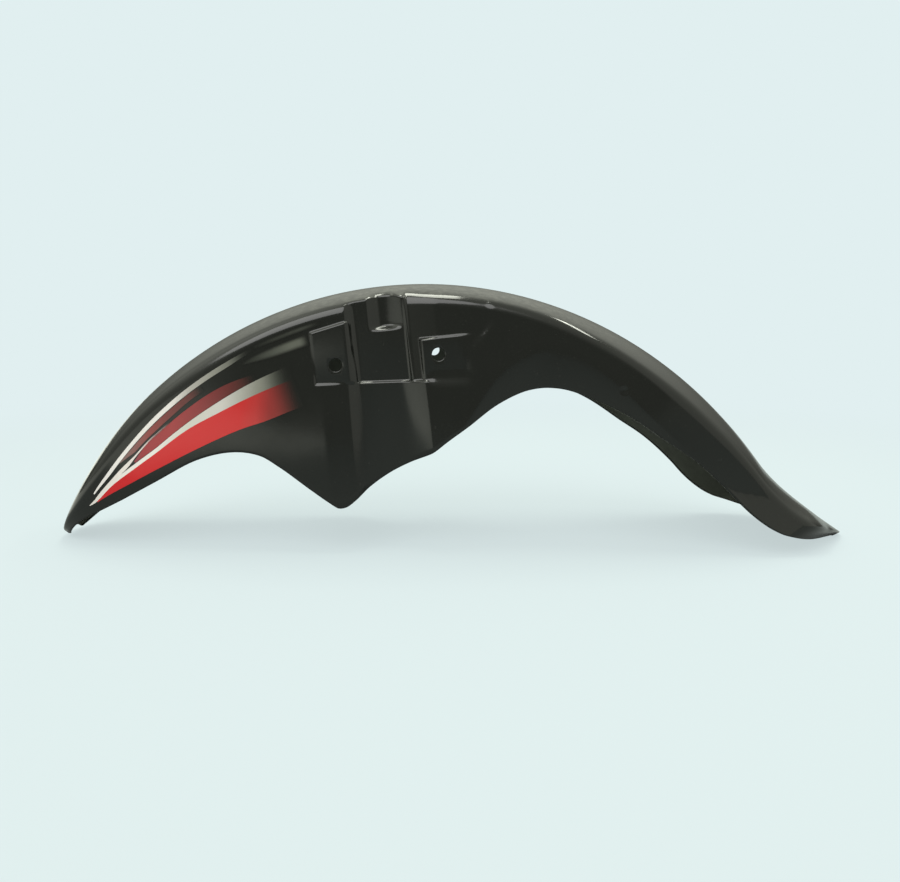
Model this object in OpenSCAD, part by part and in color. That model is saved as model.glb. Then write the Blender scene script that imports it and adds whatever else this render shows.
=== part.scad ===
// Front mudguard of a small motorcycle: one moulding in gloss black, with stripe films on its nose.
// X runs from the nose to the tail, Z is up, and the left side faces -Y. Sizes are in millimetres.

/* [Arch] */
// Radius of the crown line about the wheel axle
crown_r = 328; // [313:1:343]
// Angle of the nose tip about the axle, from the tail side of the horizontal
nose_deg = 157.4; // [154:0.1:161]
// Angle of the tail tip about the axle, from the same horizontal
tail_deg = 19.3; // [17.8:0.1:21]
// How far the nose tip drops inside the crown circle
nose_drop = 5; // [0:0.5:7]
// How far the tail tip kicks out from the crown circle
tail_kick = 39; // [28:1:45]
// Angle at which the tail starts to leave the crown circle
kick_deg = 34.5; // [31:0.5:38]
// Wall thickness of the moulding
wall = 2.6; // [2:0.1:3.2]

/* [Section] */
// Half width at the shoulder beside the fork legs
shoulder_half = 50; // [49:0.5:54]
// Rise of the crown above the shoulder line, beside the fork legs
crown_rise = 13; // [10:0.5:15]
// Softness of the shoulder
shoulder_soft = 6; // [4:0.5:8]
// How far the skirt's tip leans out past the shoulder
skirt_lean = 11; // [8:0.5:14]
// Narrowing of the shoulder towards the nose
nose_taper = 5; // [2:0.5:8]
// Length of the round end of the nose
nose_len = 90; // [70:1:110]
// Half width left at the tips of the nose and the tail
tip_half = 6; // [5:0.5:10]
// Angle over which the tail's end is rounded
tail_round = 7.3; // [6:0.1:8]
// Widening of the shoulder behind the fork legs
rear_swell = 12; // [8:0.5:14]
// How far the end of the tail flares out
tail_flare = 4; // [2:0.5:6]
// How far the side tucks in above the rear arch
arch_tuck = 4; // [2:0.5:6]

/* [Fork seat] */
// Distance between the two bolt holes of one side
bolt_gap = 80; // [78:0.5:82]
// Slope of the line through the bolt holes
bolt_tilt = 6; // [4:0.5:8]
// Diameter of a bolt hole
bolt_d = 10; // [8:0.5:11]
// How far the middle of the hole pair lies ahead of the axle
bolt_ahead = 30; // [28:0.5:32]
// Drop from the crown circle to the middle of the hole pair
bolt_drop = 61; // [59:0.5:63]
// Half the distance over the two sides' bolt pads
pad_half = 52.5; // [51.5:0.5:54]
// Width of the trough that clears the fork leg
trough_w = 44; // [42:0.5:46]
// Half width over the trough's floor
trough_half = 46; // [44.5:0.5:47]
// Depth of the round pocket at the trough's head
pocket_deep = 5; // [3:0.5:6]
// Half the width of that pocket
pocket_half = 13; // [12:0.5:15]
// Half width over the trough's floor below the pads
low_half = 47.5; // [46.5:0.5:49]
// Depth of the panel above the rear pad, where it meets the trough
panel_deep = 5; // [3:0.5:6]
// Length over which a recess wall slopes
wall_run = 4; // [3:0.5:5]
// Length over which a ledge or a pad's edge slopes
ledge_run = 2.5; // [2:0.5:4]

/* [Stripes] */
// Thickness of the stripe films
film = 0.2; // [0.2:0.05:0.4]
// Clearance between a film and the moulding
film_gap = 0.1; // [0.05:0.05:0.2]
// Strip of bare moulding between the thin stripe and the silver one
film_part = 0.3; // [0.2:0.1:0.6]

/* [Hidden] */
black = "#232523";
red = "#d02f32";
silver = "#c8c6c0";
// Depth of the section at both tips
tip_depth = wall + 4;

// Lower edge of one side: angle about the axle, and depth below the crown line
edge_line = [
    [tail_deg, tip_depth], [tail_deg + 2, 17], [tail_deg + 3.7, 25.5], [tail_deg + 6.3, 34.5],
    [tail_deg + 7.7, 38.5], [tail_deg + 9.6, 40.7], [34, 43], [38, 45.5], [43.3, 49], [49.4, 54],
    [56, 56], [62, 59], [65.6, 61], [68.8, 65], [71.9, 72], [76.3, 88], [81.1, 109], [84.9, 122],
    [89.1, 134], [98.7, 147], [104.7, 155], [108.8, 160.5], [111.3, 162.4], [113, 161.4],
    [115, 153.5], [117.9, 137], [121.3, 112], [123.4, 97], [127.4, 82], [132.6, 70], [140, 57.5],
    [nose_deg - 11.7, 44], [nose_deg - 8.2, 33], [nose_deg - 4.7, 20], [nose_deg - 2.8, 13.5],
    [nose_deg, tip_depth]
];
// Crease above the rear arch and round the tail's flare: angle, and depth below the crown line
crease_line = [
    [tail_deg, 4], [27, 10], [31.4, 20], [36, 42], [44, 48], [52, 47], [60, 38], [66, 32], [70, 31],
    [73.6, 43], [77.4, 66], [79.9, 92], [82, 114]
];
// Outward push of the band below the crease: a share of the flare, or of the tuck if below zero
lip_line = [
    [tail_deg, 0.5], [28, 1], [33, 0.6], [38, 0], [44, 0], [54, -0.5], [64, -1], [72, -1],
    [78, -0.6], [82, 0]
];
// Depth below the shoulder at which the skirt reaches its full lean
lean_depth = 160;

// Stripe lines on one side: angle about the axle, and depth below the crown line
red_low = [
    [112, 78.5], [118.4, 76.5], [123.8, 71.3], [130.5, 64.2], [136.2, 56], [142.5, 43], [149, 25.2]
];
red_top = [
    [112, 56.4], [118.4, 54.5], [124.7, 51.6], [130.8, 46.6], [136.3, 42.9], [141, 37],
    [145.5, 29.3], [149.2, 24], [150.2, 20.7]
];
silver_top = [
    [112, 45.5], [117.4, 45], [123.7, 44.3], [130.1, 42.6], [135.8, 40.2], [140.4, 34.9],
    [142.8, 28], [146.5, 24.6], [150.2, 20.1]
];
// The thin stripe lies along the silver one, from its second place to its sixth
thin_low = [for (i = [1:5]) [silver_top[i][0], silver_top[i][1] - film_part]];
thin_top = [[117.4, 40], [122.6, 35.8], [125.8, 34.6], [131.9, 33.5], [136.8, 32], [140.4, 33]];
upper_low = [
    [116, 23.5], [121.3, 25.2], [127.4, 25.1], [133, 25.1], [138, 24.8], [143.8, 23.8], [148.2, 20.3]
];
upper_top = [
    [116, 21], [121.3, 21.3], [127, 21.3], [132.5, 21.6], [137.4, 21.8], [143, 21.2], [148.2, 19.2]
];

// Angle over which the nose drops inside the crown circle
droop_deg = 24;
// Places and spreads, in degrees, of the narrowing to the nose and the widening to the rear
taper_at = 134;
taper_over = 32;
swell_at = 66;
swell_over = 30;

// Steps along the nose and the rear of the arch, and rows over the crown, shoulder and side
nose_steps = 6;
front_steps = 8;
rear_steps = 10;
tail_steps = 7;
crown_rows = 4;
soft_rows = 3;
low_rows = 6;
high_rows = 8;
side_rows = high_rows + low_rows + 1;
// Least distance between two rows
row_gap = 1.2;

function clamp01(t) = min(1, max(0, t));
function mix(a, b, t) = a + (b - a) * t;
// Smooth step from 0 to 1, centred on a place and spread over a run
function rise(v, place, run) = ease(clamp01((v - place) / run + 0.5));
function ease(t) = t * t * (3 - 2 * t);

// Smooth curve without overshoot through [angle, value] pairs in rising order
function span(line, a, i = 0) = i >= len(line) - 2 || a < line[i + 1][0] ? i : span(line, a, i + 1);
function chord(line, i) = (line[i + 1][1] - line[i][1]) / (line[i + 1][0] - line[i][0]);
function slope(line, i) =
    i == 0 ? chord(line, 0)
    : i == len(line) - 1 ? chord(line, i - 1)
    : let (p = chord(line, i - 1), q = chord(line, i)) p * q <= 0 ? 0 : 2 * p * q / (p + q);
function curve(line, a) =
    let (
        i = span(line, a),
        w = line[i + 1][0] - line[i][0],
        t = clamp01((a - line[i][0]) / w)
    )
    line[i][1] * (1 + 2 * t) * (1 - t) * (1 - t) + line[i + 1][1] * t * t * (3 - 2 * t)
    + w * t * (1 - t) * (slope(line, i) * (1 - t) - slope(line, i + 1) * t);

// Crown line, lower edge and section, each at an angle about the axle
function kick(a) = pow(clamp01((kick_deg - a) / (kick_deg - tail_deg)), 1.85);
function droop(a) = pow(clamp01((a - nose_deg + droop_deg) / droop_deg), 1.5);
function crown(a) = crown_r + tail_kick * kick(a) - nose_drop * droop(a);
function edge(a) = crown(a) - curve(edge_line, a);
function round_end(t) = sqrt(1 - pow(1 - clamp01(t), 2));
function ends(a) = round_end(crown_r * (nose_deg - a) * PI / 180 / nose_len)
    * sin(90 * clamp01((a - tail_deg) / tail_round));
function half(a) =
    let (
        taper = nose_taper * rise(a, taper_at, taper_over),
        swell = rear_swell * rise(-a, -swell_at, swell_over)
    )
    mix(tip_half, shoulder_half - taper + swell, ends(a));
function crest(a) = min(crown_rise * pow(half(a) / shoulder_half, 2), 0.4 * curve(edge_line, a));
function soft(a) = min(shoulder_soft, 0.25 * curve(edge_line, a), 0.35 * half(a));

// Half width of the plain side at an angle and a depth below the crown line
function lip(a, depth) =
    let (
        line = curve(crease_line, a),
        share = curve(lip_line, a),
        t = clamp01((depth - line) / max(2, curve(edge_line, a) - line))
    )
    (share > 0 ? tail_flare : arch_tuck) * share * pow(t, 1.3) * ends(a);
function lean(a, depth) = skirt_lean * max(0, depth - crest(a)) / lean_depth;
function side(a, depth) = half(a) + lean(a, depth) + lip(a, depth);

// The axle is placed so that the part is centred along X and stands on Z = 0
lowest = min([for (i = [0:20]) edge(tail_deg + i / 3) * sin(tail_deg + i / 3)]);
axle_x = -(crown(nose_deg) * cos(nose_deg) + crown(tail_deg) * cos(tail_deg)) / 2;
axle_z = -lowest;
function angle_of(x, z) = atan2(z - axle_z, x - axle_x);
function reach_of(x, z) = norm([x - axle_x, z - axle_z]);
function spot(a, r) = [axle_x + r * cos(a), axle_z + r * sin(a)];

// The fork seat has its own axes through the middle of the bolt pair: u runs along the pair towards
// the tail, and v runs up beside the fork leg
mid_x = axle_x - bolt_ahead;
mid_z = axle_z + crown_r - bolt_drop;
function u_of(x, z) = (x - mid_x) * cos(bolt_tilt) + (z - mid_z) * sin(bolt_tilt);
function v_of(x, z) = (z - mid_z) * cos(bolt_tilt) - (x - mid_x) * sin(bolt_tilt);
axle_u = u_of(axle_x, axle_z);
bolt_u = bolt_gap / 2;
// Ledge under the pads, which drops a little towards the tail
function ledge_v(u) = -17.3 - 0.07 * u;
// Length over which the rear pad's rear and lower edges fade into the side
fade_run = 14;
function ledge_fade(u) = mix(ledge_run, fade_run, rise(u, rear_pad_u + 6, 8));
// Edges of the pads, and the trough between them, whose front wall slopes more gently
front_pad_u = -bolt_u - 17;
rear_pad_u = bolt_u - 13;
rear_pad_end = bolt_u + 22.5;
rear_pad_top = 13;
trough_u = [-trough_w / 2 - 4, trough_w / 2 - 4];
front_run = 9;
pocket_v = 24.5;
pocket_run = 5;
function front_pad_top(u) = 30 + 0.2 * (u + bolt_u);
// The panel's rear end swings back as it rises, by this much, about this height and over this length
panel_swing = 21;
panel_swing_v = 9;
panel_swing_run = 28;
// Length over which the panel grows shallow, and the small step left at its rear end
panel_taper = 24;
panel_step = 0.7;
function panel_end(v) = rear_pad_end + panel_swing * rise(v, panel_swing_v, panel_swing_run);
function panel_depth(u) = mix(panel_deep, panel_step, clamp01((u - trough_u[1]) / panel_taper));
// Share of the low floor below the ledge, along u
low_line = [[-bolt_u - 12, 0], [-33, 0.25], [-22, 0.85], [-8, 1], [8, 1], [rear_pad_u + 1, 0]];

// Half width after the recesses and pads, at a place on the side, inset for the inner face
function sunk(y, floor_y, share) = mix(y, min(y, floor_y), share);
function between(v, from, to, run) = rise(v, from, run) * rise(-v, -to, run);
function pocket(u, v) =
    pocket_deep * clamp01(1 - pow((u - 1.5) / pocket_half, 2)) * rise(v, pocket_v, pocket_run);
function high_seat(u, v, y, inset) =
    let (
        g = inset / 2,
        in_front = between(u, front_pad_u, trough_u[0], ledge_run) * rise(-v, -front_pad_top(u), ledge_run),
        front = mix(y, pad_half - inset, in_front),
        on_side = clamp01((front + inset - shoulder_half) / (2 * shoulder_soft) + 1),
        in_panel = between(u, trough_u[1], panel_end(v) + g, wall_run),
        panel = front - panel_depth(u) * in_panel * on_side,
        in_rear = rise(u, rear_pad_u, ledge_run) * rise(-u, -rear_pad_end, fade_run)
            * rise(-v, -rear_pad_top, ledge_run),
        rear = mix(panel, pad_half - inset, in_rear),
        in_trough = rise(u, trough_u[0] - g, front_run) * rise(-u, -trough_u[1] - g, wall_run)
    )
    sunk(rear, trough_half - inset - pocket(u, v), in_trough);
function low_seat(u, y, inset) =
    sunk(y, low_half - inset, curve(low_line, u < 0 ? u + inset : u - inset));
function seat(x, z, y, inset) =
    let (u = u_of(x, z), v = v_of(x, z))
    mix(low_seat(u, y, inset), high_seat(u, v, y, inset), rise(v, ledge_v(u), ledge_fade(u)));

// One point of a face: on the crown, on the shoulder's curve, or on the side
function crown_point(a, y, inset) =
    let (
        w = half(a) - inset,
        r = crown(a) - inset - crest(a) * pow(y / w, 2),
        p = spot(a, r)
    )
    [p[0], high_seat(u_of(p[0], p[1]), v_of(p[0], p[1]), y, inset), p[1]];
function soft_point(a, t, inset) =
    let (
        f = soft(a),
        w = half(a) - inset,
        y1 = w - f,
        r1 = crown(a) - inset - crest(a) * pow(y1 / w, 2),
        r0 = crown(a) - inset - crest(a),
        r2 = crown(a) - crest(a) - f - inset / 2,
        y2 = side(a, crown(a) - r2) - inset,
        y = y1 * (1 - t) * (1 - t) + 2 * w * t * (1 - t) + y2 * t * t,
        r = r1 * (1 - t) * (1 - t) + 2 * r0 * t * (1 - t) + r2 * t * t,
        p = spot(a, r)
    )
    [p[0], high_seat(u_of(p[0], p[1]), v_of(p[0], p[1]), y, inset), p[1]];
function side_point(x, z, inset) =
    let (a = angle_of(x, z))
    [x, seat(x, z, side(a, crown(a) - reach_of(x, z)) - inset, inset), z];

// Station lines: along the fork leg in the seat, and blending to spokes of the arch elsewhere
half_ledge = ledge_run * 0.55;
half_wall = wall_run * 0.55;
half_front = front_run * 0.55;
half_head = pocket_run * 0.55;
seat_lines = [
    front_pad_u - 6, front_pad_u - half_ledge, front_pad_u + half_ledge, low_line[0][0], -bolt_u - 6,
    -bolt_u, -bolt_u + 6.5, for (x = [-half_front, 0, half_front]) trough_u[0] + x, -pocket_half - 1.5,
    -pocket_half + 2, -6, 1.5, 8, 13, for (x = [-half_wall, 0, half_wall]) trough_u[1] + x,
    rear_pad_u - half_ledge, rear_pad_u + half_ledge, bolt_u - 6, bolt_u, bolt_u + 7, bolt_u + 14,
    rear_pad_end - half_ledge, rear_pad_end + half_ledge, for (x = [8, 13, 18.5, 24.5, 31]) rear_pad_end + x
];
function shoulder_r(a) = crown(a) - crest(a) - soft(a);
seat_spokes = [for (u = seat_lines) bolt_tilt + acos((u - axle_u) / (crown_r - crown_rise - shoulder_soft))];
front_most = seat_spokes[0];
rear_most = seat_spokes[len(seat_spokes) - 1];
front_end = nose_deg - 12;
rear_end = tail_deg + 11;
spokes = concat(
    [for (i = [0:nose_steps - 1]) nose_deg - 12 * pow(i / nose_steps, 1.5)],
    [for (i = [0:front_steps - 1]) mix(front_end, front_most, i / front_steps)],
    seat_spokes,
    [for (i = [1:rear_steps]) mix(rear_most, rear_end, i / rear_steps)],
    [for (i = [1:tail_steps]) mix(rear_end, tail_deg, i / tail_steps)]
);
function upright(a) =
    a > front_most ? 1 - rise(a, front_most + 9, 18)
    : a < rear_most ? rise(a, rear_most - 7, 14)
    : 1;
// Angle at which the lower edge passes a place along u, found by halving
function edge_u(a) =
    let (p = spot(a, edge(a)))
    u_of(p[0], p[1]);
function edge_below(u, a = 58, b = 138, n = 18) =
    let (m = (a + b) / 2)
    n == 0 ? m : edge_u(m) > u ? edge_below(u, m, b, n - 1) : edge_below(u, a, m, n - 1);

// Places of the rows in the seat along v, from the shoulder at vs down to the edge at vb
function head_v(u) = mix(front_pad_top(u), max(pocket_v, 20), rise(u, trough_u[0], 4));
function seat_rows(u, vs, vb) =
    let (
        h = head_v(u),
        s = mix(half_ledge, half_head, rise(u, trough_u[0], 4)),
        low = ledge_v(u) - half_ledge,
        high = [
            (vs + h + s) / 2, h + s, h - s, rear_pad_top + half_ledge, rear_pad_top - half_ledge,
            mix(rear_pad_top, ledge_v(u), 0.35), mix(rear_pad_top, ledge_v(u), 0.68), ledge_v(u) + half_ledge
        ]
    )
    concat(
        [for (i = [0:high_rows - 1]) min(high[i], vs - row_gap * (i + 1))],
        [for (i = [0:low_rows]) mix(low, vb, i / low_rows)]
    );

function column(a, inset) =
    let (
        w = half(a) - inset,
        f = soft(a),
        k = upright(a),
        s = spot(a, shoulder_r(a) - inset / 2),
        u = u_of(s[0], s[1]),
        b_a = k > 0 ? mix(a, edge_below(u), k) : a,
        b = spot(b_a, edge(b_a)),
        vs = v_of(s[0], s[1]),
        vb = v_of(b[0], b[1]),
        rows = seat_rows(u, vs, vb)
    )
    concat(
        [for (i = [0:crown_rows]) crown_point(a, (w - f) * i / crown_rows, inset)],
        [for (i = [1:soft_rows]) soft_point(a, i / soft_rows, inset)],
        [
            for (i = [1:side_rows])
                let (
                    t = k > 0 ? mix(i / side_rows, (vs - rows[i - 1]) / (vs - vb), k) : i / side_rows,
                    p = mix(s, b, t)
                )
                side_point(p[0], p[1], inset)
        ]
    );
// A whole section from the left edge over the crown to the right edge
function section(a, inset) =
    let (c = column(a, inset), n = len(c))
    concat([for (i = [n - 1:-1:1]) [c[i][0], -c[i][1], c[i][2]]], c);

// Triangles between neighbouring columns of points, mirrored about the middle column
function tile(a, b, c, d, lean) = lean ? [[a, b, c], [a, c, d]] : [[a, b, d], [b, c, d]];
function flip(t) = [t[2], t[1], t[0]];
function face(rows, cols, start, turn, mid) = [
    for (i = [0:rows - 2], j = [0:cols - 2])
        let (p = start + i * cols + j)
        for (t = tile(p, p + 1, p + cols + 1, p + cols, j < mid)) turn ? flip(t) : t
];
// A closed skin from two grids of points with the same rows and columns
module skin(top, under, mid) {
    rows = len(top);
    cols = len(top[0]);
    n = rows * cols;
    last = n - cols;
    points = concat([for (r = top) each r], [for (r = under) each r]);
    faces = concat(
        face(rows, cols, 0, false, mid),
        face(rows, cols, n, true, mid),
        [for (i = [0:rows - 2], t = tile(i * cols, (i + 1) * cols, n + (i + 1) * cols, n + i * cols, true)) t],
        [
            for (i = [0:rows - 2])
                let (p = i * cols + cols - 1)
                for (t = tile(p, n + p, n + p + cols, p + cols, true)) t
        ],
        [for (j = [0:cols - 2], t = tile(j, n + j, n + j + 1, j + 1, true)) t],
        [for (j = [0:cols - 2], t = tile(last + j, last + j + 1, last + n + j + 1, last + n + j, true)) t]
    );
    polyhedron(points, faces, convexity = 10);
}

module mudguard_shell() {
    color(black)
        difference() {
            skin([for (a = spokes) section(a, 0)], [for (a = spokes) section(a, wall)],
                 crown_rows + soft_rows + side_rows);
            translate([mid_x, 0, mid_z])
                rotate([90, -bolt_tilt, 0])
                    for (u = [-bolt_u, bolt_u])
                        translate([u, 0, 0])
                            cylinder(d = bolt_d, h = 3 * shoulder_half, center = true, $fn = 32);
        }
}

// A stripe film on one side, between a low and a top line
module stripe(low, top, hand) {
    from = low[0][0];
    to = low[len(low) - 1][0];
    angles = concat([from], [for (i = [len(spokes) - 1:-1:0]) if (spokes[i] > from && spokes[i] < to) spokes[i]],
                    [to]);
    function strip(lift) = [
        for (a = angles)
            [
                for (t = [0, 0.5, 1])
                    let (
                        d = mix(max(curve(low, a), curve(top, a) + 0.6), curve(top, a), t),
                        p = spot(a, crown(a) - d)
                    )
                    [p[0], hand * (side(a, d) + film_gap + lift), p[1]]
            ]
    ];
    if (hand < 0)
        skin(strip(film), strip(0), 1);
    else
        skin(strip(0), strip(film), 1);
}
module red_stripe(hand) {
    color(red) stripe(red_low, red_top, hand);
}
module silver_stripe(hand) {
    color(silver) stripe(red_top, silver_top, hand);
}
module upper_stripe(hand) {
    color(silver) stripe(upper_low, upper_top, hand);
}
module thin_stripe(hand) {
    color(red) stripe(thin_low, thin_top, hand);
}

mudguard_shell();
red_stripe(-1);  // red_stripe_left
red_stripe(1);  // red_stripe_right
silver_stripe(-1);  // silver_stripe_left
silver_stripe(1);  // silver_stripe_right
upper_stripe(-1);  // upper_stripe_left
upper_stripe(1);  // upper_stripe_right
thin_stripe(-1);  // thin_stripe_left
thin_stripe(1);  // thin_stripe_right
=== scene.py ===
"""Looks of a motorcycle front mudguard: a gloss black moulding with stripe films, on a pale floor.

Shapes are worked out in millimetres in the part's own frame, +X from nose to tail and +Z up, with
the left side facing -Y, and are turned to metres when a mesh is made.
"""

import logging
import math
from dataclasses import dataclass, field
from enum import Enum

import bpy
import numpy as np
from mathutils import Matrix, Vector


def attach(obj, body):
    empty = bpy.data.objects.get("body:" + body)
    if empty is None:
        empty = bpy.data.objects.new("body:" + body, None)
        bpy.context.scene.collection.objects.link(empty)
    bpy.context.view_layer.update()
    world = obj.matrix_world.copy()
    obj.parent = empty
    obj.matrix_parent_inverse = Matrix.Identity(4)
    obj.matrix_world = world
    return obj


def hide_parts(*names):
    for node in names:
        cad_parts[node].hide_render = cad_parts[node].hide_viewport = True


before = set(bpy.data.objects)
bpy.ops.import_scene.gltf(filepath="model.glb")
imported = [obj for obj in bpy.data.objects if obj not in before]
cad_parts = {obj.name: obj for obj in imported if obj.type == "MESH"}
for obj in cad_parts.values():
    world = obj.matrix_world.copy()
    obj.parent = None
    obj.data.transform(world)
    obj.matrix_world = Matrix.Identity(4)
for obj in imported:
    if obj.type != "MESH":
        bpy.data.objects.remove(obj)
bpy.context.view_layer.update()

log = logging.getLogger("mudguard")
MM = 0.001
# Edges sharper than this stay crisp where the rest is shaded smooth
SHARP = math.radians(50)
# Makes a map range node a smooth step
SMOOTH = {"interpolation_type": "SMOOTHSTEP"}
BODY = "root"
PLASTIC = "#10120f"
Tones = tuple[tuple[float, str], ...]


class Side(Enum):
    """The two sides of the mudguard, by the sign of Y."""

    LEFT = -1
    RIGHT = 1


class Slot(Enum):
    """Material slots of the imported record."""

    BLACK = "gloss_black"
    RED = "red_film"
    SILVER = "silver_film"


def linear(hex_colour: str) -> tuple[float, float, float, float]:
    """Turns an sRGB hex colour into a linear one.

    Args:
        hex_colour: six hex digits after a hash.

    Returns:
        Linear red, green, blue and an alpha of 1.
    """
    parts = [int(hex_colour[i:i + 2], 16) / 255 for i in (1, 3, 5)]
    made = [c / 12.92 if c <= 0.04045 else ((c + 0.055) / 1.055) ** 2.4 for c in parts]
    return (*made, 1.0)


def ease(t: np.ndarray) -> np.ndarray:
    """Smooth step from 0 to 1."""
    t = np.clip(t, 0, 1)
    return t * t * (3 - 2 * t)


def rise(v: np.ndarray, place: np.ndarray, run: float) -> np.ndarray:
    """Smooth step from 0 to 1, centred on a place and spread over a run."""
    return ease((v - place) / run + 0.5)


def between(v: np.ndarray, low: np.ndarray, high: np.ndarray, run: float) -> np.ndarray:
    """1 between two places and 0 outside them, with smooth ends."""
    return rise(v, low, run) * rise(-v, -high, run)


def mix(a: np.ndarray, b: np.ndarray, t: np.ndarray) -> np.ndarray:
    """Goes from a to b as t goes from 0 to 1."""
    return a + (b - a) * t


@dataclass(frozen=True)
class Line:
    """A smooth curve without overshoot through (angle, value) pairs in rising order."""

    pairs: tuple[tuple[float, float], ...]

    def at(self, a: np.ndarray) -> np.ndarray:
        """Reads the curve.

        Args:
            a: angles in degrees.

        Returns:
            The values there.
        """
        x, y = np.array(self.pairs, float).T
        step = np.diff(x)
        chord = np.diff(y) / step
        p, q = chord[:-1], chord[1:]
        inner = np.where(p * q > 0, 2 * p * q / np.where(p * q > 0, p + q, 1), 0)
        slope = np.concatenate([chord[:1], inner, chord[-1:]])
        i = np.clip(np.searchsorted(x, a, side="right") - 1, 0, len(step) - 1)
        w = step[i]
        t = np.clip((a - x[i]) / w, 0, 1)
        low = y[i] * (1 + 2 * t) * (1 - t) ** 2 + y[i + 1] * t * t * (3 - 2 * t)
        return low + w * t * (1 - t) * (slope[i] * (1 - t) - slope[i + 1] * t)


@dataclass(frozen=True)
class Arch:
    """The plain blade, by angle about the wheel's axle and depth below the crown line, in mm."""

    crown_r: float = 328
    nose_deg: float = 157.4
    tail_deg: float = 19.3
    nose_drop: float = 5
    droop_deg: float = 24
    droop_power: float = 1.5
    tail_kick: float = 39
    kick_deg: float = 34.5
    kick_power: float = 1.85
    wall: float = 2.6
    tip_depth: float = 4
    shoulder_half: float = 50
    crown_rise: float = 13
    crown_share: float = 0.4
    shoulder_soft: float = 6
    soft_shares: tuple[float, float] = (0.25, 0.35)
    skirt_lean: float = 11
    lean_depth: float = 160
    nose_taper: float = 5
    taper_at: float = 134
    taper_over: float = 32
    nose_len: float = 90
    tip_half: float = 6
    tail_round: float = 7.3
    rear_swell: float = 12
    swell_at: float = 66
    swell_over: float = 30
    tail_flare: float = 4
    arch_tuck: float = 4
    lip_power: float = 1.3
    lip_least: float = 2

    @property
    def edge_line(self) -> Line:
        """Lower edge of one side: angle, and depth below the crown line."""
        tail, nose, tip = self.tail_deg, self.nose_deg, self.wall + self.tip_depth
        return Line((
            (tail, tip), (tail + 2, 17), (tail + 3.7, 25.5), (tail + 6.3, 34.5), (tail + 7.7, 38.5),
            (tail + 9.6, 40.7), (34, 43), (38, 45.5), (43.3, 49), (49.4, 54), (56, 56), (62, 59),
            (65.6, 61), (68.8, 65), (71.9, 72), (76.3, 88), (81.1, 109), (84.9, 122), (89.1, 134),
            (98.7, 147), (104.7, 155), (108.8, 160.5), (111.3, 162.4), (113, 161.4), (115, 153.5),
            (117.9, 137), (121.3, 112), (123.4, 97), (127.4, 82), (132.6, 70), (140, 57.5),
            (nose - 11.7, 44), (nose - 8.2, 33), (nose - 4.7, 20), (nose - 2.8, 13.5), (nose, tip),
        ))

    @property
    def crease_line(self) -> Line:
        """Crease above the rear arch and round the tail's flare."""
        return Line((
            (self.tail_deg, 4), (27, 10), (31.4, 20), (36, 42), (44, 48), (52, 47), (60, 38), (66, 32),
            (70, 31), (73.6, 43), (77.4, 66), (79.9, 92), (82, 114),
        ))

    @property
    def lip_line(self) -> Line:
        """Outward push of the band below the crease, as a share of the flare or of the tuck."""
        return Line((
            (self.tail_deg, 0.5), (28, 1), (33, 0.6), (38, 0), (44, 0), (54, -0.5), (64, -1), (72, -1),
            (78, -0.6), (82, 0),
        ))

    def crown(self, a: np.ndarray) -> np.ndarray:
        """Radius of the crown line, which kicks out at the tail tip and drops at the nose tip.

        Args:
            a: angles about the axle, in degrees.

        Returns:
            The radii there.
        """
        kick = np.clip((self.kick_deg - a) / (self.kick_deg - self.tail_deg), 0, 1) ** self.kick_power
        droop = np.clip((a - self.nose_deg + self.droop_deg) / self.droop_deg, 0, 1) ** self.droop_power
        return self.crown_r + self.tail_kick * kick - self.nose_drop * droop

    def edge(self, a: np.ndarray) -> np.ndarray:
        """Radius of the lower edge."""
        return self.crown(a) - self.edge_line.at(a)

    def ends(self, a: np.ndarray) -> np.ndarray:
        """0 at the tips of the nose and the tail, and 1 where the blade has its full width.

        Args:
            a: angles about the axle, in degrees.

        Returns:
            The shares there.
        """
        near = np.clip(self.crown_r * np.radians(self.nose_deg - a) / self.nose_len, 0, 1)
        nose = np.sqrt(1 - (1 - near) ** 2)
        return nose * np.sin(math.pi / 2 * np.clip((a - self.tail_deg) / self.tail_round, 0, 1))

    def half(self, a: np.ndarray) -> np.ndarray:
        """Half width at the shoulder.

        Args:
            a: angles about the axle, in degrees.

        Returns:
            The half widths there.
        """
        taper = self.nose_taper * rise(a, self.taper_at, self.taper_over)
        swell = self.rear_swell * rise(-a, -self.swell_at, self.swell_over)
        return mix(self.tip_half, self.shoulder_half - taper + swell, self.ends(a))

    def crest(self, a: np.ndarray) -> np.ndarray:
        """Rise of the crown above the shoulder line."""
        full = self.crown_rise * (self.half(a) / self.shoulder_half) ** 2
        return np.minimum(full, self.crown_share * self.edge_line.at(a))

    def soft(self, a: np.ndarray) -> np.ndarray:
        """Size of the shoulder's round.

        Args:
            a: angles about the axle, in degrees.

        Returns:
            The sizes there, which fit the edge and the half width.
        """
        of_edge, of_half = self.soft_shares
        limit = np.minimum(of_edge * self.edge_line.at(a), of_half * self.half(a))
        return np.minimum(self.shoulder_soft, limit)

    def side(self, a: np.ndarray, depth: np.ndarray) -> np.ndarray:
        """Half width of the plain side at an angle and a depth below the crown line.

        Args:
            a: angles about the axle, in degrees.
            depth: depths below the crown line.

        Returns:
            The half widths there.
        """
        line, share = self.crease_line.at(a), self.lip_line.at(a)
        t = np.clip((depth - line) / np.maximum(self.lip_least, self.edge_line.at(a) - line), 0, 1)
        reach = np.where(share > 0, self.tail_flare, self.arch_tuck)
        lip = reach * share * t ** self.lip_power * self.ends(a)
        lean = self.skirt_lean * np.maximum(0, depth - self.crest(a)) / self.lean_depth
        return self.half(a) + lean + lip

    @property
    def axle(self) -> tuple[float, float]:
        """X and Z of the axle, which put the part centred along X and standing on Z = 0.

        Returns:
            X and Z.
        """
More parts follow.
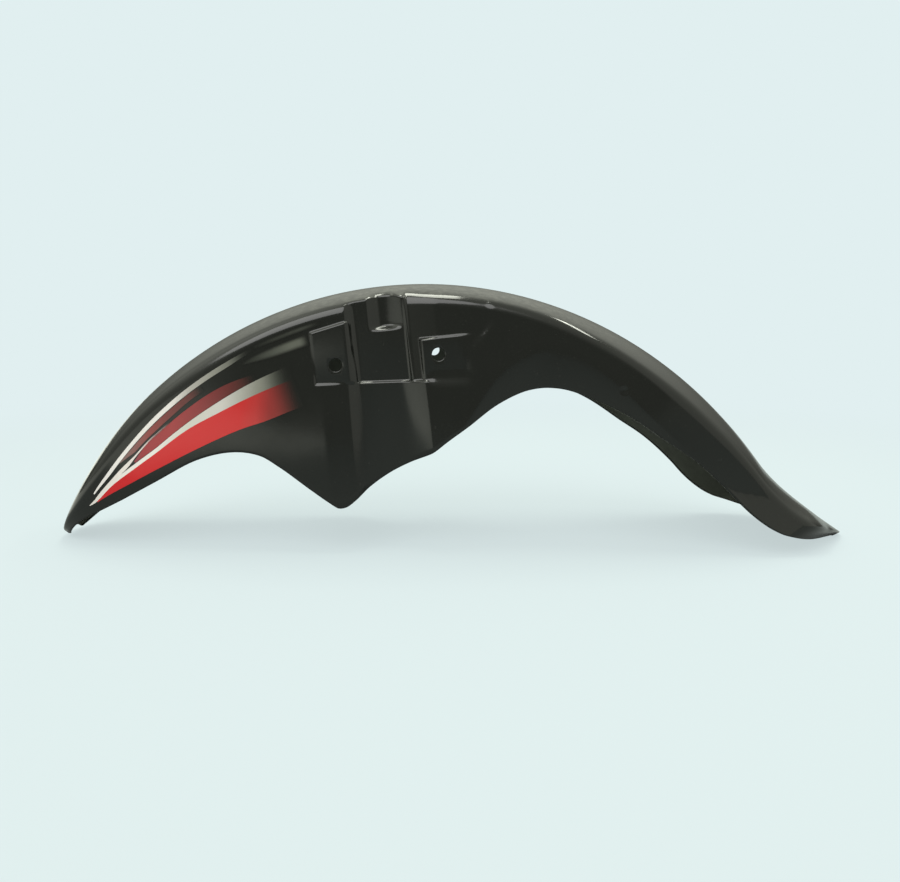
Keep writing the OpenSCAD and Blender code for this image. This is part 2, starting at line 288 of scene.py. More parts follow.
        # The lowest place is at the tail's edge, which is read every third of a degree
        a = self.tail_deg + np.arange(21) / 3
        ends = np.array([self.nose_deg, self.tail_deg])
        tips = self.crown(ends) * np.cos(np.radians(ends))
        return -float(np.sum(tips)) / 2, -float(np.min(self.edge(a) * np.sin(np.radians(a))))

    def spot(self, a: np.ndarray, r: np.ndarray) -> tuple[np.ndarray, np.ndarray]:
        """X and Z at an angle and a radius about the axle."""
        x0, z0 = self.axle
        return x0 + r * np.cos(np.radians(a)), z0 + r * np.sin(np.radians(a))

    def polar(self, x: np.ndarray, z: np.ndarray) -> tuple[np.ndarray, np.ndarray]:
        """Angle and radius about the axle of a place."""
        x0, z0 = self.axle
        return np.degrees(np.arctan2(z - z0, x - x0)), np.hypot(x - x0, z - z0)


@dataclass(frozen=True)
class ForkSeat:
    """The pads, trough and panel that sit against the fork leg, in axes along the bolt pair, in mm."""

    arch: Arch
    bolt_gap: float = 80
    bolt_tilt: float = 6
    bolt_d: float = 10
    bolt_ahead: float = 30
    bolt_drop: float = 61
    pad_half: float = 52.5
    pad_ahead: float = 17
    front_pad_top: float = 30
    front_pad_slope: float = 0.2
    rear_pad_span: tuple[float, float] = (13, 22.5)
    rear_pad_top: float = 13
    trough_w: float = 44
    trough_ahead: float = 4
    trough_half: float = 46
    pocket_deep: float = 5
    pocket_half: float = 13
    pocket_u: float = 1.5
    pocket_v: float = 24.5
    pocket_run: float = 5
    low_half: float = 47.5
    panel_deep: float = 5
    panel_step: float = 0.7
    panel_taper: float = 24
    panel_swing: float = 21
    swing_at: float = 9
    swing_run: float = 28
    wall_run: float = 4
    front_run: float = 9
    ledge_v: float = -17.3
    ledge_slope: float = -0.07
    ledge_run: float = 2.5
    fade_at: float = 6
    fade_over: float = 8
    fade_run: float = 14

    @property
    def middle(self) -> tuple[float, float]:
        """X and Z of the middle of the bolt pair."""
        x0, z0 = self.arch.axle
        return x0 - self.bolt_ahead, z0 + self.arch.crown_r - self.bolt_drop

    @property
    def bolt_u(self) -> float:
        """Distance of a bolt hole from the middle of the pair."""
        return self.bolt_gap / 2

    @property
    def front_pad(self) -> float:
        """Front edge of the front pad."""
        return -self.bolt_u - self.pad_ahead

    @property
    def rear_pad(self) -> tuple[float, float]:
        """Front and rear edges of the rear pad."""
        return self.bolt_u - self.rear_pad_span[0], self.bolt_u + self.rear_pad_span[1]

    @property
    def trough(self) -> tuple[float, float]:
        """Middles of the trough's front and rear walls."""
        return -self.trough_w / 2 - self.trough_ahead, self.trough_w / 2 - self.trough_ahead

    @property
    def low_line(self) -> Line:
        """Share of the low floor below the ledge."""
        return Line((
            (-self.bolt_u - 12, 0), (-33, 0.25), (-22, 0.85), (-8, 1), (8, 1), (self.rear_pad[0] + 1, 0),
        ))

    def own(self, x: np.ndarray, z: np.ndarray) -> tuple[np.ndarray, np.ndarray]:
        """A place in the seat's own axes: u along the bolt pair, v up beside the fork leg.

        Args:
            x, z: the place in the part's frame.

        Returns:
            u and v.
        """
        mx, mz = self.middle
        c, s = math.cos(math.radians(self.bolt_tilt)), math.sin(math.radians(self.bolt_tilt))
        return (x - mx) * c + (z - mz) * s, (z - mz) * c - (x - mx) * s

    def front_top(self, u: np.ndarray) -> np.ndarray:
        """Top edge of the front pad."""
        return self.front_pad_top + self.front_pad_slope * (u + self.bolt_u)

    def ledge(self, u: np.ndarray) -> np.ndarray:
        """Height of the ledge under the pads."""
        return self.ledge_v + self.ledge_slope * u

    def fade(self, u: np.ndarray) -> np.ndarray:
        """Length over which that ledge slopes, which grows under the rear pad."""
        return mix(self.ledge_run, self.fade_run, rise(u, self.rear_pad[0] + self.fade_at, self.fade_over))

    def pocket(self, u: np.ndarray, v: np.ndarray) -> np.ndarray:
        """Depth of the round pocket at the trough's head."""
        across = np.clip(1 - ((u - self.pocket_u) / self.pocket_half) ** 2, 0, 1)
        return self.pocket_deep * across * rise(v, self.pocket_v, self.pocket_run)

    def high(self, u: np.ndarray, v: np.ndarray, y: np.ndarray, inset: float) -> np.ndarray:
        """Half width above the ledge, with the pads, the panel and the trough.

        Args:
            u, v: places in the seat's axes.
            y: half width of the plain blade there.
            inset: 0 for the outer face, or the wall for the inner one.

        Returns:
            The half width with the seat in it.
        """
        g, arch = inset / 2, self.arch
        trough, rear_pad, run = self.trough, self.rear_pad, self.ledge_run
        in_front = between(u, self.front_pad, trough[0], run) * rise(-v, -self.front_top(u), run)
        y = mix(y, self.pad_half - inset, in_front)
        on_side = np.clip((y + inset - arch.shoulder_half) / (2 * arch.shoulder_soft) + 1, 0, 1)
        panel_end = rear_pad[1] + self.panel_swing * rise(v, self.swing_at, self.swing_run) + g
        deep = mix(self.panel_deep, self.panel_step, np.clip((u - trough[1]) / self.panel_taper, 0, 1))
        y = y - deep * between(u, trough[1], panel_end, self.wall_run) * on_side
        in_rear = rise(u, rear_pad[0], run) * rise(-u, -rear_pad[1], self.fade_run)
        y = mix(y, self.pad_half - inset, in_rear * rise(-v, -self.rear_pad_top, run))
        in_trough = rise(u, trough[0] - g, self.front_run) * rise(-u, -trough[1] - g, self.wall_run)
        return mix(y, np.minimum(y, self.trough_half - inset - self.pocket(u, v)), in_trough)

    def low(self, u: np.ndarray, y: np.ndarray, inset: float) -> np.ndarray:
        """Half width below the ledge, with the low end of the trough."""
        share = self.low_line.at(np.where(u < 0, u + inset, u - inset))
        return mix(y, np.minimum(y, self.low_half - inset), share)

    def shape(self, x: np.ndarray, z: np.ndarray, y: np.ndarray, inset: float) -> np.ndarray:
        """Half width of the side with the whole seat in it."""
        u, v = self.own(x, z)
        return mix(self.low(u, y, inset), self.high(u, v, y, inset), rise(v, self.ledge(u), self.fade(u)))


def new_mesh(name: str, points: np.ndarray, faces: list[tuple[int, ...]]) -> bpy.types.Object:
    """Makes a smooth-shaded object from points in millimetres.

    Args:
        name: the piece's name.
        points: an array of X, Y and Z.
        faces: point numbers of each face.

    Returns:
        The new object, linked to the scene.
    """
    mesh = bpy.data.meshes.new(name)
    mesh.from_pydata((points * MM).tolist(), [], faces)
    mesh.update()
    mesh.shade_smooth()
    piece = bpy.data.objects.new(name, mesh)
    bpy.context.scene.collection.objects.link(piece)
    return piece


def grid_faces(rows: int, cols: int, start: int, turned: bool) -> list[tuple[int, ...]]:
    """Quads of a grid of points.

    Args:
        rows, cols: points each way.
        start: number of the first point.
        turned: whether the faces look the other way.

    Returns:
        The quads.
    """
    i, j = np.meshgrid(np.arange(rows - 1), np.arange(cols - 1), indexing="ij")
    p = (start + i * cols + j).ravel()
    quads = np.stack([p, p + 1, p + cols + 1, p + cols], 1)
    if turned:
        quads = quads[:, ::-1]
    return [tuple(q) for q in quads.tolist()]


@dataclass
class Shell:
    """The moulding: one skin of even wall with a rounded rim all round."""

    arch: Arch
    seat: ForkSeat
    name: str = "shell"
    node: str = "mudguard_shell"
    nose_steps: int = 18
    nose_span_deg: float = 12
    nose_bunch: float = 1.7
    front_steps: int = 34
    seat_step: float = 2.2
    seat_reach: tuple[float, float] = (26, 56)
    least_step: float = 0.35
    rear_steps: int = 50
    tail_steps: int = 28
    tail_span_deg: float = 11
    crown_rows: int = 9
    soft_rows: int = 8
    side_rows: tuple[int, ...] = (5, 7, 4, 6, 9, 7, 16)
    edge_reach: float = 1.7
    head_reach: float = 3.0
    turn_deg: tuple[float, float] = (18, 14)
    foot_deg: tuple[float, float] = (58, 138)
    foot_steps: int = 900
    rim_steps: int = 5
    hole_sides: int = 64
    hole_round: float = 0.9
    hole_round_steps: int = 6
    hole_past: float = 8

    @property
    def rim_r(self) -> float:
        """Radius of the round rim."""
        return self.arch.wall / 2

    def seat_lines(self) -> np.ndarray:
        """Places along the bolt pair of the seat's sections, closer together at its walls and edges.

        Returns:
            The places in rising order.
        """
        seat = self.seat
        # Each wall's place, how far the closer sections reach on both sides of it, and their count
        walls = (
            (seat.front_pad, 2, 7), (seat.trough[0], 6, 12), (seat.pocket_u - seat.pocket_half, 2.5, 5),
            (seat.trough[1], 3, 9), (seat.rear_pad[0], 2, 7),
        )
        even = np.arange(-seat.bolt_u - self.seat_reach[0], seat.bolt_u + self.seat_reach[1], self.seat_step)
        close = [place + np.linspace(-reach, reach, count) for place, reach, count in walls]
        u = np.sort(np.concatenate([even] + close))
        return u[np.concatenate([[True], np.diff(u) > self.least_step])]

    @property
    def seat_angles(self) -> np.ndarray:
        """Angles of the sections at the fork seat, from its front to its rear.

        Returns:
            The angles in degrees.
        """
        arch, seat = self.arch, self.seat
        x0, z0 = arch.axle
        axle_u = float(seat.own(np.array(x0), np.array(z0))[0])
        reach = arch.crown_r - arch.crown_rise - arch.shoulder_soft
        return seat.bolt_tilt + np.degrees(np.arccos((self.seat_lines() - axle_u) / reach))

    def stations(self) -> np.ndarray:
        """Angles of the sections, from the nose to the tail.

        Returns:
            The angles in degrees.
        """
        mid, pad = self.seat_angles, math.degrees(self.rim_r / self.arch.crown_r)
        nose, tail = self.arch.nose_deg - pad, self.arch.tail_deg + pad
        past_nose, before_tail = nose - self.nose_span_deg, tail + self.tail_span_deg
        front = nose - self.nose_span_deg * (np.arange(self.nose_steps) / self.nose_steps) ** self.nose_bunch
        ahead = mix(past_nose, mid[0], np.arange(self.front_steps) / self.front_steps)
        behind = mix(mid[-1], before_tail, np.arange(1, self.rear_steps + 1) / self.rear_steps)
        last = mix(before_tail, tail, np.arange(1, self.tail_steps + 1) / self.tail_steps)
        return np.concatenate([front, ahead, mid, behind, last])

    def heights(self, u: np.ndarray, top: np.ndarray, foot: np.ndarray) -> np.ndarray:
        """Heights of the rows on the side, closer together at the seat's edges.

        Args:
            u: place of each section along the bolt pair.
            top, foot: heights of its shoulder and of its lower edge.

        Returns:
            Heights by section and row, from below the shoulder to the edge.
        """
        seat, near = self.seat, self.edge_reach
        in_trough = rise(u, seat.trough[0], seat.wall_run)
        head = mix(seat.front_top(u), seat.pocket_v, in_trough)
        reach = mix(near, self.head_reach, in_trough)
        pad, ledge = np.full_like(u, seat.rear_pad_top), seat.ledge(u)
        knots = [top, head + reach, head - reach, pad + near, pad - near, ledge + near, ledge - near, foot]
        rows = np.concatenate([
            mix(a, b, np.linspace(0, 1, n + 1)[None, 1:]) for a, b, n in zip(knots, knots[1:], self.side_rows)
        ], 1)
        high = rows.shape[1] - self.side_rows[-1]
        rows[:, :high] = np.minimum(rows[:, :high], top - self.least_step * np.arange(1, high + 1))
        return rows

    def column(self, a: np.ndarray, inset: float) -> np.ndarray:
        """Right half of every section.

        Args:
            a: angles of the sections.
            inset: 0 for the outer face, or the wall for the inner one.

        Returns:
            Points by section and row, in mm.
        """
        arch, seat = self.arch, self.seat
        a = a[:, None]
        w, f = arch.half(a) - inset, arch.soft(a)
        crown, crest = arch.crown(a), arch.crest(a)
        # The crown, and the shoulder's round as a curve through three points
        y_top = (w - f) * np.linspace(0, 1, self.crown_rows + 1)[None, :]
        r_top = crown - inset - crest * (y_top / w) ** 2
        t = np.linspace(0, 1, self.soft_rows + 1)[None, 1:]
        y1, r1 = y_top[:, -1:], r_top[:, -1:]
        r0 = crown - inset - crest
        r2 = crown - crest - f - inset / 2
        y2 = arch.side(a, crown - r2) - inset
        y_soft = y1 * (1 - t) ** 2 + 2 * w * t * (1 - t) + y2 * t * t
        r_soft = r1 * (1 - t) ** 2 + 2 * r0 * t * (1 - t) + r2 * t * t
        x_up, z_up = arch.spot(a, np.concatenate([r_top, r_soft], 1))
        u_up, v_up = seat.own(x_up, z_up)
        y_up = seat.high(u_up, v_up, np.concatenate([y_top, y_soft], 1), inset)

        # The side, whose rows run upright beside the fork leg and square to the blade at both ends
        sx, sz = arch.spot(a, r2)
        u, vs = seat.own(sx, sz)
        front, rear = self.seat_angles[[0, -1]]
        fore, aft = self.turn_deg
        upright = np.where(a > front, 1 - rise(a, front + fore / 2, fore), 1)
        upright = np.where(a < rear, rise(a, rear - aft / 2, aft), upright)
        table = np.linspace(*self.foot_deg, self.foot_steps)
        table_u = seat.own(*arch.spot(table, arch.edge(table)))[0]
        foot = mix(a, np.interp(u, table_u[::-1], table[::-1]), upright)
        bx, bz = arch.spot(foot, arch.edge(foot) + self.rim_r)
        vb = seat.own(bx, bz)[1]
        rows = self.heights(u, vs, vb)
        even = np.linspace(0, 1, rows.shape[1] + 1)[None, 1:]
        share = mix(even, (vs - rows) / (vs - vb), upright)
        x, z = mix(sx, bx, share), mix(sz, bz, share)
        angle, reach = arch.polar(x, z)
        y = seat.shape(x, z, arch.side(angle, arch.crown(angle) - reach) - inset, inset)
        return np.stack([np.concatenate(pair, 1) for pair in ((x_up, x), (y_up, y), (z_up, z))], 2)

    def section(self, a: np.ndarray, inset: float) -> np.ndarray:
        """Whole sections from the left edge over the crown to the right edge.

        Args:
            a: angles of the sections.
            inset: 0 for the outer face, or the wall for the inner one.

        Returns:
            Points by section and row, in mm.
        """
        right = self.column(a, inset)
        left = right[:, :0:-1] * np.array([1, -1, 1])
        return np.concatenate([left, right], 1)

    def rim(self, outer: np.ndarray, inner: np.ndarray) -> tuple[np.ndarray, np.ndarray]:
        """Rounds the edge all round with half circles from the outer face to the inner one.

        Args:
            outer, inner: the two grids of points.

        Returns:
            The arcs' points by place round the edge, and the grid numbers of the places.
        """
        rows, cols = outer.shape[:2]
        walk = [(0, j) for j in range(cols - 1)] + [(i, cols - 1) for i in range(rows - 1)]
        walk += [(rows - 1, j) for j in range(cols - 1, 0, -1)] + [(i, 0) for i in range(rows - 1, 0, -1)]
        arcs, numbers = [], []
        for i, j in walk:
            out = np.zeros(3)
            edges = ((i == 0, 1, 0), (i == rows - 1, -1, 0), (j == 0, 0, 1), (j == cols - 1, 0, -1))
            for edge, di, dj in edges:
                if edge:
                    away = outer[i, j] - outer[i + di, j + dj]
                    out += away / np.linalg.norm(away)
            middle, reach = (outer[i, j] + inner[i, j]) / 2, (outer[i, j] - inner[i, j]) / 2
            out -= reach * (out @ reach) / (reach @ reach)
            out *= self.rim_r / np.linalg.norm(out)
            turn = np.arange(1, self.rim_steps) / self.rim_steps * math.pi
            arcs.append(middle + np.cos(turn)[:, None] * reach + np.sin(turn)[:, None] * out)
            numbers.append(i * cols + j)
        return np.array(arcs), np.array(numbers)

    def build(self) -> bpy.types.Object:
        """Builds the skin with its rim, and marks its inner face.

        Returns:
            The shell's object.
        """
        a = self.stations()
        outer, inner = self.section(a, 0), self.section(a, self.arch.wall)
        rows, cols = outer.shape[:2]
        count = rows * cols
        arcs, numbers = self.rim(outer, inner)
        points = np.concatenate([outer.reshape(-1, 3), inner.reshape(-1, 3), arcs.reshape(-1, 3)])
        # The rim's round at the lowest edge would reach a hair below the floor
        points[:, 2] = np.maximum(points[:, 2], 0)
        faces = grid_faces(rows, cols, 0, True) + grid_faces(rows, cols, count, False)
        inside = len(faces) // 2
        around, per = len(numbers), self.rim_steps - 1
        arc_numbers = 2 * count + np.arange(around * per).reshape(around, per)
        chain = np.concatenate([numbers[:, None], arc_numbers, count + numbers[:, None]], 1)
        following = np.roll(chain, -1, 0)
        for k in range(per + 1):
            strip = np.stack([chain[:, k], following[:, k], following[:, k + 1], chain[:, k + 1]], 1)
            faces += [tuple(q) for q in strip.tolist()]
        piece = new_mesh(self.name, points, faces)
        inner_side = np.zeros(len(faces), np.int32)
        inner_side[inside:2 * inside] = 1
        # Both finishes go on before the holes are cut, so that each face keeps its own
        piece.data.materials.append(GlossPlastic().make())
        piece.data.materials.append(DullPlastic().make())
        piece.data.polygons.foreach_set("material_index", inner_side)
        return piece

    def cutter(self, side: Side, end: int) -> bpy.types.Object:
        """Makes the tool for one bolt hole, a round bar that flares at the hole's mouth.

        Args:
            side: the side of the hole.
            end: -1 for the front hole, 1 for the rear one.

        Returns:
            The tool's object.
        """
        seat, soft, around = self.seat, self.hole_round, self.hole_sides
        r, pad, tilt = seat.bolt_d / 2, seat.pad_half, math.radians(seat.bolt_tilt)
        turn = np.linspace(0, math.pi / 2, self.hole_round_steps)
        mouth = [(r + soft * (1 - math.cos(t)), pad - soft * (1 - math.sin(t))) for t in turn]
        profile = [(r, 0), (r, pad - soft - 1)] + mouth + [(r + soft, pad + self.hole_past)]
        bx = seat.middle[0] + end * seat.bolt_u * math.cos(tilt)
        bz = seat.middle[1] + end * seat.bolt_u * math.sin(tilt)
        spin = np.arange(around) / around * 2 * math.pi
        rings = [
            np.stack([bx + pr * np.cos(spin), np.full(around, side.value * py), bz + pr * np.sin(spin)], 1)
            for pr, py in profile
        ]
        last = around * (len(profile) - 1)
        faces = [
            (k + i, k + (i + 1) % around, k + around + (i + 1) % around, k + around + i)
            for k in range(0, last, around)
            for i in range(around)
        ]
        faces += [tuple(range(around))[::-1], tuple(range(last, last + around))]
        if side is Side.RIGHT:
            faces = [face[::-1] for face in faces]
        return new_mesh("cutter", np.concatenate(rings), faces)

    def bore(self, piece: bpy.types.Object) -> None:
        """Cuts the four bolt holes, with a small round at each mouth.

        Args:
            piece: the shell's object.
        """
        for side in Side:
            for end in (-1, 1):
                cutter = self.cutter(side, end)
                cut = piece.modifiers.new("bore", "BOOLEAN")
                cut.operation, cut.solver, cut.object = "DIFFERENCE", "EXACT", cutter
                bored = piece.evaluated_get(bpy.context.evaluated_depsgraph_get())
                made = bpy.data.meshes.new_from_object(bored)
                piece.modifiers.clear()
                piece.data = made
                bpy.data.objects.remove(cutter)
        piece.data.set_sharp_from_angle(angle=SHARP)

    def dress(self, piece: bpy.types.Object) -> None:
        """Bores the skin, whose gloss and dull faces keep their finishes, and ties it to its node.

        Args:
            piece: the shell's object.
        """
        self.bore(piece)
        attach(piece, BODY)
        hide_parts(self.node)


@dataclass
class Stripe:
    """One stripe film, which follows the side between two lines.

    A film that the record has no node for only rides on the body. Such films are prints, except the soft grey
    wedge and streak, which are painted reflections.
    """

    arch: Arch
    name: str
    side: Side
    low: Line
    top: Line
    slot: Slot
    tones: Tones
    soft: float = 0.0
    without_node: bool = False
    film: float = 0.2
    gap: float = 0.1
    least_wide: float = 0.4
    long_steps: int = 90
    across_steps: int = 8

    def face(self, lift: float) -> np.ndarray:
        """Grid of points on one face of the film.

        Args:
            lift: how far the face lies above the under side.

        Returns:
            Points by place along and across, in mm.
        """
        a = np.linspace(self.low.pairs[0][0], self.low.pairs[-1][0], self.long_steps + 1)[:, None]
        t = np.linspace(0, 1, self.across_steps + 1)[None, :]
        low, top = self.low.at(a), self.top.at(a)
        depth = mix(np.maximum(low, top + self.least_wide), top, t)
        x, z = self.arch.spot(a + 0 * t, self.arch.crown(a) - depth)
        y = self.side.value * (self.arch.side(a + 0 * t, depth) + self.gap + lift)
        return np.stack([x, y, z], 2)

    def build(self) -> bpy.types.Object:
        """Builds the film with its four thin edges.

        Returns:
            The film's object.
        """
        top, under = self.face(self.film), self.face(0)
        rows, cols = top.shape[:2]
        count = rows * cols
        left = self.side is Side.LEFT
        faces = grid_faces(rows, cols, 0, not left) + grid_faces(rows, cols, count, left)
        loop = list(range(cols)) + [i * cols + cols - 1 for i in range(1, rows)]
        loop += [(rows - 1) * cols + j for j in range(cols - 2, -1, -1)]
        loop += [i * cols for i in range(rows - 2, 0, -1)]
        for k, p in enumerate(loop):
            q = loop[(k + 1) % len(loop)]
            quad = (p, count + p, count + q, q)
            faces.append(quad if left else quad[::-1])
        piece = new_mesh(self.name, np.concatenate([top.reshape(-1, 3), under.reshape(-1, 3)]), faces)
        piece.data.set_sharp_from_angle(angle=SHARP)
        row, col = np.divmod(np.arange(2 * count) % count, cols)
        spread = np.stack([row / (rows - 1), col / (cols - 1)], 1)
        corners = np.zeros(len(piece.data.loops), np.int32)
        piece.data.loops.foreach_get("vertex_index", corners)
        piece.data.uv_layers.new(name="print").data.foreach_set("uv", spread[corners].ravel())
        return piece

    def dress(self, piece: bpy.types.Object) -> None:
        """Gives the film its print, which on the wedge and the streak is a painted reflection.

        Args:
            piece: the film's object.
        """
        piece.data.materials.append(StripeFilm(self.name, self.tones, self.soft).make())
        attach(piece, BODY)
        if not self.without_node:
            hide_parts(self.name)


def add_node(tree: bpy.types.NodeTree, kind: str, inputs: dict | None = None, **settings) -> bpy.types.Node:
    """Adds a shader node with its settings, values and links.

    Args:
        tree: the node tree.
        kind: the node's type name.
        inputs: values or output sockets by input name or number.
        settings: the node's own properties.

    Returns:
        The node.
    """
    node = tree.nodes.new(kind)
    for key, value in settings.items():
        setattr(node, key, value)
    for key, value in (inputs or {}).items():
        if isinstance(value, bpy.types.NodeSocket):
            tree.links.new(value, node.inputs[key])
        else:
            node.inputs[key].default_value = value
    return node


def new_material(name: str) -> tuple[bpy.types.Material, bpy.types.NodeTree]:
    """Makes an empty node material and returns it with its tree.

    Args:
        name: the finish's name.

    Returns:
        The material and its node tree.
    """
    material = bpy.data.materials.new(name)
    material.use_nodes = True
    material.node_tree.nodes.clear()
    return material, material.node_tree


@dataclass(frozen=True)
class GlossPlastic:
    """Injection-moulded ABS from a polished tool: deep black, with a wet gloss and a slight orange peel."""

    name: str = "moulded_gloss_abs"
    colour: str = PLASTIC
    dust: str = "#5c5d56"
    roughness: float = 0.09
    handled: float = 0.07
    ior: float = 1.5
    peel_mm: float = 4.0
    peel_deep_mm: float = 0.02
    peel_share: float = 0.35
    haze_mm: float = 45.0
    speck_mm: float = 1.6
    speck_share: float = 0.25
    patch_mm: float = 5.0
    patch_shares: tuple[float, float] = (0.05, 0.34)
    dimple_at: tuple[float, float] = (126.6, 124.8)
    dimple_r: float = 4.5
    dimple_deep_mm: float = 0.5

    def make(self) -> bpy.types.Material:
        """Builds the material.

        Returns:
            The material.
        """
        material, tree = new_material(self.name)
        place = add_node(tree, "ShaderNodeTexCoord").outputs["Object"]
        normal = add_node(tree, "ShaderNodeNewGeometry").outputs["Normal"]
        facing = add_node(tree, "ShaderNodeSeparateXYZ", {"Vector": normal}).outputs["Z"]
        # How far a place is from the shallow dimple behind the rear arch, one on each side
        flat = add_node(tree, "ShaderNodeVectorMath", {0: place, 1: (1.0, 0.0, 1.0)}, operation="MULTIPLY")
        away = add_node(tree, "ShaderNodeVectorMath", {
            0: flat.outputs["Vector"], 1: (self.dimple_at[0] * MM, 0.0, self.dimple_at[1] * MM),
        }, operation="DISTANCE")
        # Slow changes of gloss from handling and polish, specks, dust that has settled, and orange peel
        haze, specks, patches, peel = [
            add_node(tree, "ShaderNodeTexNoise", {
                "Vector": place, "Scale": 1 / (size * MM), "Detail": detail,
            }).outputs["Fac"]
            for size, detail in (
                (self.haze_mm, 4.0), (self.speck_mm, 2.0), (self.patch_mm, 3.0), (self.peel_mm, 1.0),
            )
        ]
        # Each row says what is followed, where it begins and ends, and what it goes from and to
        rough, dusty = [
            add_node(tree, "ShaderNodeMapRange", dict(enumerate(row))).outputs["Result"]
            for row in (
                (haze, 0.35, 0.75, self.roughness, self.roughness + self.handled),
                # Fine dust, drawn coarser than real grains so that it shows
                (specks, 0.68, 0.85, 0.0, self.speck_share),
            )
        ]
        upward, patchy, hollow = [
            add_node(tree, "ShaderNodeMapRange", dict(enumerate(row)), **SMOOTH).outputs["Result"]
            for row in (
                # More dust lies where the crown faces up, in patches
                (facing, 0.7, 0.98, 0.0, 1.0),
                (patches, 0.36, 0.68, *self.patch_shares),
                (away.outputs["Value"], 0.0, self.dimple_r * MM, 0.0, 1.0),
            )
        ]
        settled = add_node(tree, "ShaderNodeMath", {0: upward, 1: patchy}, operation="MULTIPLY")
        dirt = add_node(tree, "ShaderNodeMath", {0: dusty, 1: settled.outputs["Value"]}, operation="ADD")
        tone = add_node(tree, "ShaderNodeMix", {
            "Factor": dirt.outputs["Value"], "A": linear(self.colour), "B": linear(self.dust),
        }, data_type="RGBA")
        skin = add_node(tree, "ShaderNodeBump", {
            "Height": peel, "Strength": self.peel_share, "Distance": self.peel_deep_mm * MM,
        })
        dented = add_node(tree, "ShaderNodeBump", {
            "Height": hollow, "Strength": 1.0, "Distance": self.dimple_deep_mm * MM,
            "Normal": skin.outputs["Normal"],
        })
        shader = add_node(tree, "ShaderNodeBsdfPrincipled", {
            "Base Color": tone.outputs["Result"], "Roughness": rough, "IOR": self.ior,
            "Normal": dented.outputs["Normal"],
        })
        add_node(tree, "ShaderNodeOutputMaterial", {"Surface": shader.outputs["BSDF"]})
        return material


@dataclass(frozen=True)
class DullPlastic:
    """The same ABS from the rough half of the tool: a dull dark grey inner face with a fine grain, lightened
    by painted light.
    """

    name: str = "moulded_dull_abs_with_painted_light"
    # Lighter than the face's own dark grey: painted light for the light that reaches the shaded inner face
    colour: str = "#696c63"
    roughness: float = 0.5
    ior: float = 1.5
    grain_mm: float = 1.2
    grain_deep_mm: float = 0.04
    grain_share: float = 0.5

    def make(self) -> bpy.types.Material:
        """Builds the material.

        Returns:
            The material.
        """
        material, tree = new_material(self.name)
        place = add_node(tree, "ShaderNodeTexCoord").outputs["Object"]
        grain = add_node(tree, "ShaderNodeTexNoise", {
            "Vector": place, "Scale": 1 / (self.grain_mm * MM), "Detail": 3.0,
        })
        bump = add_node(tree, "ShaderNodeBump", {
            "Height": grain.outputs["Fac"], "Strength": self.grain_share, "Distance": self.grain_deep_mm * MM,
        })
        shader = add_node(tree, "ShaderNodeBsdfPrincipled", {
            "Base Color": linear(self.colour), "Roughness": self.roughness, "IOR": self.ior,
            "Normal": bump.outputs["Normal"],
        })
        add_node(tree, "ShaderNodeOutputMaterial", {"Surface": shader.outputs["BSDF"]})
        return material


